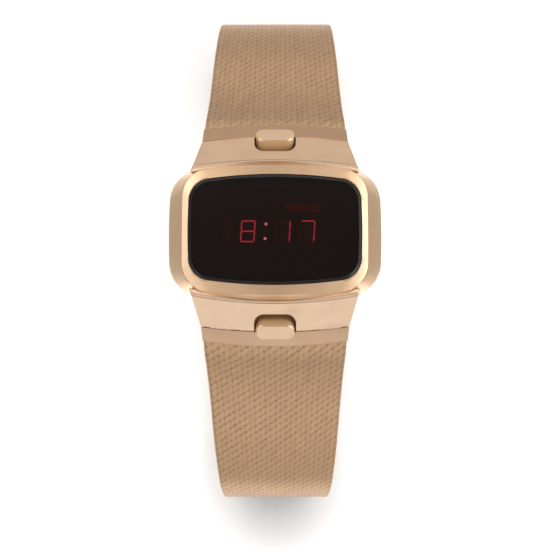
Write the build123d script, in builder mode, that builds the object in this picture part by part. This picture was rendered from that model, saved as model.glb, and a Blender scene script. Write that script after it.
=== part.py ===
from build123d import *
import os
from math import cos, radians, sin, tan

os.makedirs("parts", exist_ok=True)

# Wrist watch with a light-emitting display, lying on its closed bracelet.
# Sizes are in millimetres. +Z is up out of the display and +Y is towards 12 o'clock.
# Depths are measured down from the crest, the bezel's front edge.

# Outline of the head at its widest line
case_half_width = 18.5
case_half_height = 13.0
case_side_bow = 0.37
case_end_bow = 3.35
case_corner_radius = 5.9

# Crest outline
crest_inset = 2.5
crest_end_inset = 1.7
crest_half_width = case_half_width - crest_inset
crest_half_height = case_half_height - crest_end_inset
crest_side_bow = 0.15
crest_end_bow = 1.1
crest_corner_radius = 5.0

# Crystal
glass_inset = 1.05
glass_end_inset = 1.72
glass_half_width = crest_half_width - glass_inset
glass_half_height = crest_half_height - glass_end_inset
glass_side_bow = 0.38
glass_end_bow = 1.28
glass_corner_radius = 3.9
glass_thickness = 1.9
glass_proud = 0.45
glass_chamfer = 0.5
glass_chamfer_drop = 0.28
glass_gap = 0.06

# Bezel shell
ring_rise = 0.3
flank_depth = 3.5
gasket_thickness = 0.3
gasket_width = 0.9
seat_width = 1.0
seat_thickness = 0.75
bore_inset = 0.35
bore_end_reach = 0.02
bezel_bore_half_width = glass_half_width - bore_inset
bezel_bore_half_height = glass_half_height + bore_end_reach

# Case body
body_depth = 10.6
base_inset = 1.2
base_end_inset = 0.4
base_half_width = case_half_width - base_inset
base_half_height = case_half_height - base_end_inset
wall_thickness = 3.0
end_wall_thickness = 1.7
cavity_half_width = case_half_width - wall_thickness
cavity_half_height = case_half_height - end_wall_thickness
cavity_corner_radius = 4.0
boss_radius = 1.7
boss_inset = 2.5
boss_end_inset = 2.7
boss_x = cavity_half_width - boss_inset
boss_y = cavity_half_height - boss_end_inset
boss_depth = 6.0
seam_overrun = 0.5

# Width of the bracelet at the head, which the links and slabs follow
band_top_width = 25.1

# Polished slabs at 12 and 6
slab_seam_y = 12.25
slab_seam_depth = 1.9
slab_end_y = 17.12
slab_end_depth = 5.0
slab_root_y = 10.4
slab_flare = 1.75
slab_end_sag = 0.87
slab_base_depth = 9.6
slab_foot_chamfer = 1.0

# End links
link_edge_y = 19.65
link_edge_depth = 5.8
link_reach = 0.05
link_flare = 0.25
link_edge_half_width = band_top_width / 2 + link_reach
slab_end_half_width = link_edge_half_width + link_flare
slab_root_half_width = slab_end_half_width + slab_flare
link_edge_sag = 0.95
link_seam_gap = 0.05
link_skin = 0.55
link_border = 0.18
cheek_thickness = 1.0
cheek_inset = 0.05
cheek_shelf_y = 17.6

# Spring bars, case ears and knuckles
bar_y = 18.5
bar_depth = 8.4
bar_radius = 0.7
bar_tip_radius = 0.4
bar_tip_reach = 0.65
bar_shoulder_gap = 0.1
bar_fit = 0.02
ear_radius = 1.05
ear_x = 7.0
ear_thickness = 1.6
knuckle_radius = 1.2
knuckle_gap = 0.1
hinge_clearance = 0.05

# Push buttons
button_width = 6.7
button_height = 2.8
button_corner_radius = 1.25
button_seat_y = 16.9
button_proud = 1.02
button_sink = 2.1
button_edge = 0.3
button_gap = 0.08
button_travel = 0.5
tunnel_depth = 3.0
notch_width = 7.3
notch_inner_y = 14.33
notch_reach = 2.0
notch_drop = 2.45
notch_lean = 10.0
notch_corner_radius = 1.7
stem_radius = 0.5
stem_gap = 0.03
wall_below_tunnel = 1.0
seal_wire_radius = 0.2
seal_seat_gap = 0.02
seal_recess = 0.55
clip_radius = 0.9
clip_thickness = 0.2
clip_gap = 0.03
clip_groove_depth = 0.1
stem_tail = 0.35
coil_radius = 0.8
coil_wire_radius = 0.09
coil_turns = 2.5
bay_width = 5.0
bay_height = 2.0
bay_reach = 1.5
bay_slot_top_depth = 7.9
bay_slot_floor_depth = 10.0
bay_slot_y = 13.9
blade_thickness = 0.2
blade_width = 2.0
blade_inset = 0.12
blade_pad_gap = 0.05
blade_pad_reach = 0.65

# Display
colon_offset = 1.65
colon_gap = 1.9
digit_width = 2.3
digit_height = 3.6
digit_pitch = 4.25
stroke_width = 0.22
stroke_gap = 0.08
stroke_thickness = 0.06
colon_radius = 0.24
colon_half_spacing = 1.28
digit_slant = 3.5
chip_border = 0.35
chip_thickness = 0.25
sensor_width = 6.0
sensor_height = 1.5
sensor_thickness = 0.3
sensor_x = 4.7
sensor_y = 4.1
window_width = 18.6
window_height = 8.6
window_y = 1.1
mask_thickness = 0.3
mask_gap = 0.12

# Module
board_depth = 3.2
board_thickness = 0.7
rim_width = 1.0
module_gap = 0.15
module_base_depth = 10.0
component_pocket = 2.1
component_gap = 0.15
component_y = 7.0
control_width = 6.4
control_height = 2.4
control_thickness = 1.0
quartz_radius = 0.95
quartz_length = 5.6
quartz_offset = 1.2
trimmer_radius = 1.0
trimmer_thickness = 1.1
trimmer_x = 11.0
trimmer_y = 6.4
trimmer_slot = 0.35

# Batteries, their contacts and hatches
battery_radius = 5.8
battery_height = 4.2
battery_step = 0.8
battery_rim = 0.5
battery_x = 7.1
battery_gap = 0.15
contact_thickness = 0.2
contact_lift = 0.15
contact_width = 2.4
contact_span = 9.0
hatch_radius = 6.1
hatch_gap = 0.05
hatch_slot_length = 8.0
hatch_slot_width = 1.0
hatch_slot_depth = 0.4
tab_reach = 0.4
tab_width = 3.0
tab_thickness = 0.45
tab_gap = 0.05
tab_neck = 0.15
hatch_gasket_radius = 5.4
hatch_gasket_width = 0.6
hatch_gasket_thickness = 0.25

# Case back
back_thickness = 0.9
back_inset = 0.7
back_half_width = base_half_width - back_inset
back_half_height = base_half_height - back_inset
back_end_bow = 2.6
back_edge = 0.3
back_gasket_width = 0.5
back_gasket_depth = 0.35
back_gasket_inset = 0.35
screw_radius = 0.5
screw_head_radius = 0.95
screw_head_height = 0.35
screw_length = 2.4
screw_gap = 0.05
screw_sink = 0.05
screw_slot_width = 0.25
screw_slot_depth = 0.15

# Bracelet: centre line of one half, as straight lengths and bend radii
band_thickness = 1.9
band_slope = 30.0
band_lead_y = 18.0
band_lead_depth = 7.19
band_lead_length = 1.4
knee_radius = 8.0
rise_radius = 46.0
slope_length = 3.7
shoulder_radius = 48.0
end_radius = 14.6
under_radius = 10.5
belly_radius = 70.0
band_bends = (
    (band_lead_length, 0),
    (knee_radius, 18),
    (rise_radius, -14),
    (slope_length, 0),
    (shoulder_radius, 14),
    (end_radius, 42),
    (under_radius, 82),
    (belly_radius, 8),
)
band_clasp_width = 17.6
belly_width_12 = 20.6
belly_width_6 = 19.4
taper_break_depth = 36.0
band_tuck = 0.3
band_tail_reach = 7.4
weld_gap = 0.02

# Clasp
frame_width = 20.6
rail_thickness = 0.8
rail_height = 4.9
rail_end_radius = 1.0
frame_front_y = 12.0
frame_back_reach = 11.8
floor_back_reach = 8.0
floor_thickness = 0.5
clasp_bay = 1.28
cover_thickness = 0.6
cover_recess = 0.12
cover_side_gap = 0.15
cover_end_gap = 0.2
cover_edge = 0.15
cover_lip_thickness = 0.5
cover_lip_height = 0.24
cover_pin_y = 10.8
cover_pin_radius = 0.4
cover_knuckle_radius = 0.72
cover_pin_fit = 0.04
band_seat_gap = 0.1
lever_pin_y = 7.0
lever_pin_radius = 0.35
lever_knuckle_radius = 0.6
lever_pin_rise = 0.75
lever_thickness = 0.5
lever_length = 9.6
lever_rise = 0.15
lever_side_gap = 0.2
lever_tip_radius = 1.5
tail_cap_length = 1.8
tail_cap_wall = 0.25
tongue_cap_y = 13.2
tongue_cap_length = 2.2
tongue_cap_wall = 0.35
tongue_thickness = 0.6
tongue_width = 14.6
tongue_tip_y = 8.9
tongue_rise = 0.33
tongue_ridge_gap = 0.3
tongue_ridge_length = 0.5
tongue_ridge_height = 0.26

cut_overrun = 1.0


def follow_bends(y, z, slope, bends):
    # End point and slope of a chain of straight lengths and tangent bends
    for size, turn in bends:
        start, end = radians(slope), radians(slope + turn)
        if turn:
            reach = size if turn > 0 else -size
            y += reach * (sin(end) - sin(start))
            z -= reach * (cos(start) - cos(end))
        else:
            y += size * cos(start)
            z -= size * sin(start)
        slope += turn
    return y, z, slope


# Heights above the table follow from the clasp's stack and the bracelet's drop
floor_height = cover_recess + cover_thickness + clasp_bay
band_mid_height = floor_height + floor_thickness + band_seat_gap + band_thickness / 2
belly_y, belly_depth, _ = follow_bends(band_lead_y, -band_lead_depth, band_slope, band_bends)
crest_height = band_mid_height - belly_depth
back_face_height = crest_height - body_depth - back_thickness
bar_height = crest_height - bar_depth

slab_fall = (slab_end_depth - slab_seam_depth) / (slab_end_y - slab_seam_y)
slab_plane = Plane(
    origin=(0, slab_end_y, crest_height - slab_end_depth),
    x_dir=(1, 0, 0),
    z_dir=(0, slab_fall, 1),
)
button_seat_depth = slab_end_depth - (slab_end_y - button_seat_y) * slab_fall
button_plane = Plane(
    origin=(0, button_seat_y, crest_height - button_seat_depth),
    x_dir=(1, 0, 0),
    z_dir=(0, slab_fall, 1),
)
notch_edge_depth = slab_end_depth - (slab_end_y - notch_inner_y) * slab_fall
notch_plane = Plane(
    origin=(0, notch_inner_y, crest_height - notch_edge_depth),
    x_dir=(1, 0, 0),
    z_dir=(0, tan(radians(notch_lean)), 1),
)
stem_bay_depth = tunnel_depth + wall_below_tunnel
stem_end_depth = stem_bay_depth + clip_gap + clip_thickness + stem_tail


def at_depth(depth):
    return Plane.XY.offset(crest_height - depth)


def cushion_face(half_width, half_height, side_bow, end_bow, corner_radius):
    # Four bowed sides meeting at rounded corners
    corner_x = half_width - side_bow
    corner_y = half_height - end_bow
    with BuildSketch() as face:
        with BuildLine():
            ThreePointArc((-corner_x, corner_y), (0, half_height), (corner_x, corner_y))
            ThreePointArc((corner_x, corner_y), (half_width, 0), (corner_x, -corner_y))
            ThreePointArc((corner_x, -corner_y), (0, -half_height), (-corner_x, -corner_y))
            ThreePointArc((-corner_x, -corner_y), (-half_width, 0), (-corner_x, corner_y))
        make_face()
        fillet(face.vertices(), corner_radius)
    return face.sketch


def glass_face(margin):
    return cushion_face(
        glass_half_width + margin,
        glass_half_height + margin,
        glass_side_bow,
        glass_end_bow,
        glass_corner_radius + margin,
    )


def bore_face(half_width, half_height):
    return cushion_face(half_width, half_height, glass_side_bow, glass_end_bow, glass_corner_radius)


def cavity_face(margin):
    return cushion_face(
        cavity_half_width + margin,
        cavity_half_height + margin,
        glass_side_bow,
        glass_end_bow,
        cavity_corner_radius + margin,
    )


def end_piece_face(inner_y, inner_half_width, inner_sag, outer_y, outer_half_width, outer_sag):
    # Plan of a slab or a link: tapered sides between an inner and an outer edge
    inner_corner_y = inner_y - inner_sag
    outer_corner_y = outer_y - outer_sag
    with BuildSketch() as face:
        with BuildLine():
            if inner_sag:
                ThreePointArc(
                    (-inner_half_width, inner_corner_y), (0, inner_y), (inner_half_width, inner_corner_y)
                )
            else:
                Line((-inner_half_width, inner_y), (inner_half_width, inner_y))
            Line((inner_half_width, inner_corner_y), (outer_half_width, outer_corner_y))
            ThreePointArc(
                (outer_half_width, outer_corner_y), (0, outer_y), (-outer_half_width, outer_corner_y)
            )
            Line((-outer_half_width, outer_corner_y), (-inner_half_width, inner_corner_y))
        make_face()
    return face.sketch


def other_side(part):
    # The same piece at 6 o'clock
    with BuildPart() as twin:
        mirror(part, about=Plane.XZ)
    return twin.part


def save(part, name):
    part.label = name
    export_step(part, f"parts/{name}.step")


def ear(first_x, thickness, back_y):
    # An ear round the spring bar, with its foot reaching back to back_y
    with BuildPart() as ear_part:
        with BuildSketch(Plane.YZ.offset(first_x)):
            with Locations((bar_y, bar_height)):
                Circle(ear_radius)
            with Locations(((bar_y + back_y) / 2, bar_height)):
                Rectangle(bar_y - back_y, 2 * ear_radius)
        extrude(amount=thickness)
    return ear_part.part


def bar_along_x(y, z, radius, first_x, last_x):
    # A round bar or bore parallel to X
    with BuildPart() as bar:
        with BuildSketch(Plane.YZ.offset(first_x)):
            with Locations((y, z)):
                Circle(radius)
        extrude(amount=last_x - first_x)
    return bar.part


# Slab blocks: they shape the case body and are cut out of the bezel
with BuildPart() as slab_block:
    with BuildSketch(at_depth(slab_base_depth)):
        add(
            end_piece_face(
                slab_root_y, slab_root_half_width, 0, slab_end_y, slab_end_half_width, slab_end_sag
            )
        )
    extrude(amount=slab_base_depth)
    foot = slab_block.edges().group_by(Axis.Z)[0].sort_by(Axis.Y)[-1]
    chamfer(foot, slab_foot_chamfer)
    split(bisect_by=slab_plane, keep=Keep.BOTTOM)

# The pill-shaped way of a button, with its side gap
with BuildPart() as button_way:
    with BuildSketch(button_plane.offset(-tunnel_depth)):
        RectangleRounded(
            button_width + 2 * button_gap,
            button_height + 2 * button_gap,
            button_corner_radius + button_gap,
        )
    extrude(amount=tunnel_depth + slab_end_depth)

# Bezel: flank, front ring and crystal seat in one shell
with BuildPart() as bezel:
    with BuildSketch(at_depth(flank_depth)):
        add(
            cushion_face(
                case_half_width, case_half_height, case_side_bow, case_end_bow, case_corner_radius
            )
        )
    with BuildSketch(at_depth(0)):
        add(
            cushion_face(
                crest_half_width, crest_half_height, crest_side_bow, crest_end_bow, crest_corner_radius
            )
        )
    loft()
    with BuildSketch(at_depth(0)):
        add(
            cushion_face(
                crest_half_width, crest_half_height, crest_side_bow, crest_end_bow, crest_corner_radius
            )
        )
    with BuildSketch(at_depth(-ring_rise)):
        add(glass_face(glass_gap))
    loft()
    seat_depth = glass_thickness - glass_proud + gasket_thickness
    with BuildSketch(at_depth(seat_depth)):
        add(glass_face(glass_gap))
    extrude(amount=seat_depth + ring_rise + cut_overrun, mode=Mode.SUBTRACT)
    with BuildSketch(at_depth(seat_depth + seat_thickness)):
        add(glass_face(-seat_width))
    extrude(amount=seat_thickness + cut_overrun, mode=Mode.SUBTRACT)
    with BuildSketch(at_depth(flank_depth)):
        add(bore_face(bezel_bore_half_width, bezel_bore_half_height))
    extrude(amount=flank_depth - seat_depth - seat_thickness, mode=Mode.SUBTRACT)
    add(slab_block.part, mode=Mode.SUBTRACT)
    add(other_side(slab_block.part), mode=Mode.SUBTRACT)
save(bezel.part, "bezel")

# Crystal with its polished chamfer
with BuildPart() as crystal:
    with BuildSketch(at_depth(glass_thickness - glass_proud)):
        add(glass_face(0))
    extrude(amount=glass_thickness)
    chamfer(crystal.edges().group_by(Axis.Z)[-1], glass_chamfer_drop, glass_chamfer)
save(crystal.part, "crystal")

with BuildPart() as crystal_gasket:
    with BuildSketch(at_depth(seat_depth)):
        add(glass_face(0))
        add(glass_face(-gasket_width), mode=Mode.SUBTRACT)
    extrude(amount=gasket_thickness)
save(crystal_gasket.part, "crystal_gasket")

# Notch, stem bore, seal recess, clip bay and its slot into the cavity, for one button
with BuildPart() as button_cuts:
    notch_length = slab_end_y + notch_reach - notch_inner_y
    with BuildSketch(notch_plane.offset(-notch_drop)):
        with Locations((0, notch_length / 2)):
            RectangleRounded(notch_width, notch_length, notch_corner_radius)
    extrude(amount=notch_drop + notch_edge_depth)
    with BuildSketch(button_plane.offset(-tunnel_depth)):
        Circle(stem_radius + stem_gap)
    extrude(amount=-wall_below_tunnel - cut_overrun / 2)
    with BuildSketch(button_plane.offset(-stem_bay_depth)):
        Circle(stem_radius + 2 * seal_wire_radius + 2 * seal_seat_gap)
    extrude(amount=seal_recess)
    with BuildSketch(button_plane.offset(-stem_bay_depth)):
        Rectangle(bay_width, bay_height)
    extrude(amount=-bay_reach)
    with BuildSketch(at_depth(bay_slot_floor_depth)):
        with Locations((0, (cavity_half_height - seam_overrun + bay_slot_y) / 2)):
            Rectangle(bay_width, bay_slot_y - cavity_half_height + seam_overrun)
    extrude(amount=bay_slot_floor_depth - bay_slot_top_depth)

# Case body: tapering shell with slabs, ears, notches, button ways and the module's cavity
with BuildPart() as case_body:
    with BuildSketch(at_depth(body_depth)):
        add(
            cushion_face(
                base_half_width, base_half_height, case_side_bow, case_end_bow, case_corner_radius
            )
        )
    with BuildSketch(at_depth(flank_depth)):
        add(
            cushion_face(
                case_half_width, case_half_height, case_side_bow, case_end_bow, case_corner_radius
            )
        )
    loft()
    add(slab_block.part)
    add(other_side(slab_block.part))
    ear_root_y = slab_end_y - slab_end_sag
    for ear_middle in (-ear_x, ear_x):
        case_ear = ear(ear_middle - ear_thickness / 2, ear_thickness, ear_root_y)
        add(case_ear)
        add(other_side(case_ear))
    ear_bore = bar_along_x(bar_y, bar_height, bar_radius + bar_fit, -2 * ear_x, 2 * ear_x)
    add(ear_bore, mode=Mode.SUBTRACT)
    add(other_side(ear_bore), mode=Mode.SUBTRACT)
    with BuildSketch(at_depth(body_depth + cut_overrun)):
        add(cavity_face(0))
    extrude(amount=body_depth - flank_depth + cut_overrun, mode=Mode.SUBTRACT)
    with BuildSketch(at_depth(body_depth)):
        with GridLocations(2 * boss_x, 2 * boss_y, 2, 2):
            Circle(boss_radius)
    extrude(amount=body_depth - boss_depth)
    with BuildSketch(at_depth(body_depth)):
        with GridLocations(2 * boss_x, 2 * boss_y, 2, 2):
            Circle(screw_radius)
    extrude(amount=screw_length, mode=Mode.SUBTRACT)
    with BuildSketch(at_depth(body_depth)):
        add(cavity_face(back_gasket_inset + back_gasket_width))
        add(cavity_face(back_gasket_inset), mode=Mode.SUBTRACT)
    extrude(amount=back_gasket_depth, mode=Mode.SUBTRACT)
    for side_part in (button_way.part, other_side(button_way.part)):
        add(side_part, mode=Mode.SUBTRACT)
    add(button_cuts.part, mode=Mode.SUBTRACT)
    add(other_side(button_cuts.part), mode=Mode.SUBTRACT)
save(case_body.part, "case_body")

# End link: a hood over the knuckles, held by the spring bar's tips
link_inner_half_width = slab_end_half_width
with BuildPart() as link_plan:
    with BuildSketch(at_depth(slab_base_depth)):
        add(
            end_piece_face(
                slab_end_y + link_seam_gap,
                link_inner_half_width,
                slab_end_sag,
                link_edge_y,
                link_edge_half_width,
                link_edge_sag,
            )
        )
    extrude(amount=slab_base_depth)
link_fall = (link_edge_depth - slab_end_depth) / (link_edge_y - slab_end_y)
link_plane = Plane(
    origin=(0, slab_end_y, crest_height - slab_end_depth),
    x_dir=(1, 0, 0),
    z_dir=(0, link_fall, 1),
)
with BuildPart() as link_skin_sheet:
    add(link_plan.part)
    split(bisect_by=link_plane, keep=Keep.BOTTOM)
    split(bisect_by=link_plane.offset(-link_skin), keep=Keep.TOP)
    rim_edges = link_skin_sheet.faces().sort_by(Axis.Z)[-1].edges().sort_by(Axis.Y)
    chamfer(rim_edges[-1], link_border)

with BuildPart() as end_link_12:
    cheek_outer_x = link_edge_half_width - cheek_inset
    cheek_root_y = slab_end_y - link_edge_sag
    shelf_top = crest_height - slab_end_depth - link_skin
    for cheek_x in (-cheek_outer_x, cheek_outer_x - cheek_thickness):
        add(ear(cheek_x, cheek_thickness, cheek_root_y))
        with BuildSketch(Plane.YZ.offset(cheek_x)):
            with Locations(((cheek_root_y + cheek_shelf_y) / 2, (shelf_top + bar_height) / 2)):
                Rectangle(cheek_shelf_y - cheek_root_y, shelf_top - bar_height)
        extrude(amount=cheek_thickness)
    add(link_plan.part, mode=Mode.INTERSECT)
    add(link_skin_sheet.part)
    add(button_way.part, mode=Mode.SUBTRACT)
    tip_reach = cheek_outer_x - cheek_thickness + bar_tip_reach
    add(
        bar_along_x(bar_y, bar_height, bar_tip_radius + bar_fit, -tip_reach, tip_reach),
        mode=Mode.SUBTRACT,
    )
save(end_link_12.part, "end_link_12")
save(other_side(end_link_12.part), "end_link_6")

# Spring bar with its thinner tips
with BuildPart() as spring_bar_12:
    shoulder_x = cheek_outer_x - cheek_thickness - bar_shoulder_gap
    tip_x = tip_reach - bar_fit
    add(bar_along_x(bar_y, bar_height, bar_radius, -shoulder_x, shoulder_x))
    add(bar_along_x(bar_y, bar_height, bar_tip_radius, -tip_x, tip_x))
save(spring_bar_12.part, "spring_bar_12")
save(other_side(spring_bar_12.part), "spring_bar_6")

# Knuckle tubes between the ears, welded under the mesh
with BuildPart() as knuckle_12:
    inner_reach = ear_x - ear_thickness / 2 - knuckle_gap
    outer_start = ear_x + ear_thickness / 2 + knuckle_gap
    for first_x, last_x in (
        (-shoulder_x, -outer_start),
        (-inner_reach, inner_reach),
        (outer_start, shoulder_x),
    ):
        add(bar_along_x(bar_y, bar_height, knuckle_radius, first_x, last_x))
    add(
        bar_along_x(bar_y, bar_height, bar_radius + hinge_clearance, -shoulder_x, shoulder_x),
        mode=Mode.SUBTRACT,
    )
save(knuckle_12.part, "knuckle_12")
save(other_side(knuckle_12.part), "knuckle_6")


def mesh_half(last_y, belly_width):
    # One half of the bracelet, swept along its bends and tapered towards the clasp
    lead_height = crest_height - band_lead_depth
    slope = radians(band_slope)
    start = (band_lead_y, lead_height)
    ahead = (band_lead_y + band_lead_length * cos(slope), lead_height - band_lead_length * sin(slope))
    with BuildPart() as half:
        with BuildLine(Plane.YZ) as path:
            run = Line(start, ahead)
            for size, turn in band_bends[1:]:
                if turn:
                    run = JernArc(run @ 1, run % 1, size, -turn)
                else:
                    run = Line(run @ 1, run @ 1 + (run % 1) * size)
            Line(run @ 1, (last_y, band_mid_height))
        with BuildSketch(Plane(origin=path.line @ 0, x_dir=(1, 0, 0), z_dir=path.line % 0)):
            Rectangle(band_top_width, band_thickness)
        sweep(path=path.line)
        with BuildSketch(Plane.XZ):
            top_x = band_top_width / 2
            foot_x = band_clasp_width / 2
            foot_height = band_mid_height + band_thickness / 2
            belly_x = belly_width / 2
            belly_height = crest_height - taper_break_depth
            with BuildLine():
                Polyline(
                    (-foot_x, foot_height),
                    (-foot_x, band_mid_height - band_thickness),
                    (foot_x, band_mid_height - band_thickness),
                    (foot_x, foot_height),
                    (belly_x, belly_height),
                    (top_x, lead_height),
                    (top_x, crest_height),
                    (-top_x, crest_height),
                    (-top_x, lead_height),
                    (-belly_x, belly_height),
                    close=True,
                )
            make_face()
        extrude(amount=crest_height, both=True, mode=Mode.INTERSECT)
        with BuildSketch(at_depth(slab_base_depth + knuckle_radius)):
            add(
                end_piece_face(
                    0,
                    band_top_width,
                    0,
                    link_edge_y - band_tuck,
                    band_top_width / 2 + band_tuck,
                    link_edge_sag,
                )
            )
        extrude(amount=slab_base_depth + knuckle_radius, mode=Mode.SUBTRACT)
        weld_radius = knuckle_radius + weld_gap
        add(
            bar_along_x(bar_y, bar_height, weld_radius, -band_top_width, band_top_width),
            mode=Mode.SUBTRACT,
        )
    return half.part


save(mesh_half(-band_tail_reach, belly_width_12), "mesh_band_12")
save(
    other_side(mesh_half(tongue_cap_y + tongue_cap_wall, belly_width_6)),
    "mesh_band_6",
)

# Push buttons, each with its seal, clip, spring and switch blade
with BuildPart() as date_button:
    with BuildSketch(button_plane.offset(-button_sink)):
        RectangleRounded(button_width, button_height, button_corner_radius)
    extrude(amount=button_sink + button_proud)
    fillet(date_button.faces().sort_by(Axis.Z)[-1].edges(), button_edge)
    with BuildSketch(button_plane.offset(-stem_end_depth)):
        Circle(stem_radius)
    extrude(amount=stem_end_depth - button_sink)
    with BuildSketch(button_plane.offset(-stem_bay_depth - clip_gap - clip_thickness)):
        Circle(stem_radius)
        Circle(stem_radius - clip_groove_depth, mode=Mode.SUBTRACT)
    extrude(amount=clip_thickness, mode=Mode.SUBTRACT)
save(date_button.part, "date_button")
save(other_side(date_button.part), "time_button")

with BuildPart() as date_clip:
    with BuildSketch(button_plane.offset(-stem_bay_depth - clip_gap - clip_thickness)):
        Circle(clip_radius)
        Circle(stem_radius - clip_groove_depth, mode=Mode.SUBTRACT)
        with Locations((0, clip_radius / 2)):
            Rectangle(stem_radius, clip_radius, mode=Mode.SUBTRACT)
    extrude(amount=clip_thickness)
save(date_clip.part, "date_clip")
save(other_side(date_clip.part), "time_clip")

with BuildPart() as date_seal:
    with BuildSketch(button_plane.offset(-stem_bay_depth + seal_recess / 2)):
        Circle(stem_radius + 2 * seal_wire_radius + seal_seat_gap)
        Circle(stem_radius + seal_seat_gap, mode=Mode.SUBTRACT)
    extrude(amount=seal_wire_radius, both=True)
save(date_seal.part, "date_seal")
save(other_side(date_seal.part), "time_seal")

with BuildPart() as date_spring:
    coil_height = tunnel_depth - button_sink - 2 * coil_wire_radius - 2 * seal_seat_gap
    coil_plane = button_plane.offset(-tunnel_depth + coil_wire_radius + seal_seat_gap)
    with BuildLine() as coil:
        Helix(
            pitch=coil_height / coil_turns,
            height=coil_height,
            radius=coil_radius,
            center=coil_plane.origin,
            direction=coil_plane.z_dir,
        )
    with BuildSketch(Plane(origin=coil.line @ 0, z_dir=coil.line % 0)):
        RegularPolygon(coil_wire_radius, 6)
    sweep(path=coil.line, is_frenet=True)
save(date_spring.part, "date_spring")
save(other_side(date_spring.part), "time_spring")

module_wall_y = cavity_half_height - module_gap
board_height = crest_height - board_depth
with BuildPart() as date_blade:
    pad_depth = stem_end_depth + button_travel + blade_pad_gap + blade_thickness / 2
    pad_middle = button_plane.offset(-pad_depth).origin
    pad_fall = slab_fall * blade_pad_reach
    with BuildSketch(Plane.YZ.offset(-blade_width / 2)):
        with BuildLine():
            blade_line = Polyline(
                (module_wall_y - blade_inset, board_height - board_thickness),
                (module_wall_y - blade_inset, pad_middle.Z + pad_fall),
                (pad_middle.Y - blade_pad_reach, pad_middle.Z + pad_fall),
                (pad_middle.Y + blade_pad_reach, pad_middle.Z - pad_fall),
            )
        trace(blade_line, line_width=blade_thickness)
    extrude(amount=blade_width)
save(date_blade.part, "date_blade")
save(other_side(date_blade.part), "time_blade")

# Display: slanted seven-segment digits on their chips, a colon and a light sensor
colon_x = -colon_offset
digit_rights = (
    colon_x - colon_gap - digit_pitch,
    colon_x - colon_gap,
    colon_x + colon_gap + digit_width,
    colon_x + colon_gap + digit_width + digit_pitch,
)
digits_shown = ("", "abcdefg", "bc", "abc")


def slanted(x, y):
    return x + y * tan(radians(digit_slant)), y


def stroke(first, last):
    # One stroke between two corners of a digit, leaning with the slant
    (first_x, first_y), (last_x, last_y) = first, last
    half = stroke_width / 2
    if first_x == last_x:
        low, high = first_y + stroke_gap, last_y - stroke_gap
        corners = ((first_x - half, low), (first_x + half, low), (last_x + half, high), (last_x - half, high))
    else:
        low, high = first_x + stroke_gap, last_x - stroke_gap
        corners = ((low, first_y - half), (high, first_y - half), (high, first_y + half), (low, first_y + half))
    with BuildSketch() as face:
        with BuildLine():
            Polyline(*[slanted(x, y) for x, y in corners], close=True)
        make_face()
    return face.sketch


def digit_strokes(right_x):
    # Strokes a to g, clockwise from the top, with the middle one last
    left_x = right_x - digit_width
    top = digit_height / 2
    return {
        "a": stroke((left_x, top), (right_x, top)),
        "b": stroke((right_x, 0), (right_x, top)),
        "c": stroke((right_x, -top), (right_x, 0)),
        "d": stroke((left_x, -top), (right_x, -top)),
        "e": stroke((left_x, -top), (left_x, 0)),
        "f": stroke((left_x, 0), (left_x, top)),
        "g": stroke((left_x, 0), (right_x, 0)),
    }


def display_strokes(lit):
    with BuildPart() as strokes:
        with BuildSketch(at_depth(board_depth - chip_thickness)):
            for right_x, shown in zip(digit_rights, digits_shown):
                for name, face in digit_strokes(right_x).items():
                    if (name in shown) == lit:
                        add(face)
            if lit:
                for dot_y in (-colon_half_spacing, colon_half_spacing):
                    with Locations(slanted(colon_x, dot_y)):
                        Circle(colon_radius)
        extrude(amount=stroke_thickness)
    return strokes.part


save(display_strokes(True), "lit_segments")
save(display_strokes(False), "unlit_segments")

with BuildPart() as digit_chips:
    chip_width = digit_width + stroke_width + 2 * chip_border
    chip_height = digit_height + stroke_width + 2 * chip_border
    with BuildSketch(at_depth(board_depth)):
        for right_x in digit_rights:
            with Locations((right_x - digit_width / 2, 0)):
                Rectangle(chip_width, chip_height)
        with Locations((colon_x, 0)):
            Rectangle(2 * colon_radius + chip_border, chip_height)
    extrude(amount=chip_thickness)
save(digit_chips.part, "digit_chips")

with BuildPart() as light_sensor:
    with BuildSketch(at_depth(board_depth)):
        with Locations((sensor_x, sensor_y)):
            Rectangle(sensor_width, sensor_height)
    extrude(amount=sensor_thickness)
save(light_sensor.part, "light_sensor")

# Mask between the bezel's ledge and the module's rim
mask_top_depth = seat_depth + seat_thickness
with BuildPart() as dial_mask:
    with BuildSketch(at_depth(mask_top_depth + mask_thickness)):
        add(bore_face(bezel_bore_half_width - mask_gap, bezel_bore_half_height - mask_gap))
        with Locations((0, window_y)):
            Rectangle(window_width, window_height, mode=Mode.SUBTRACT)
    extrude(amount=mask_thickness)
save(dial_mask.part, "dial_mask")

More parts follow.
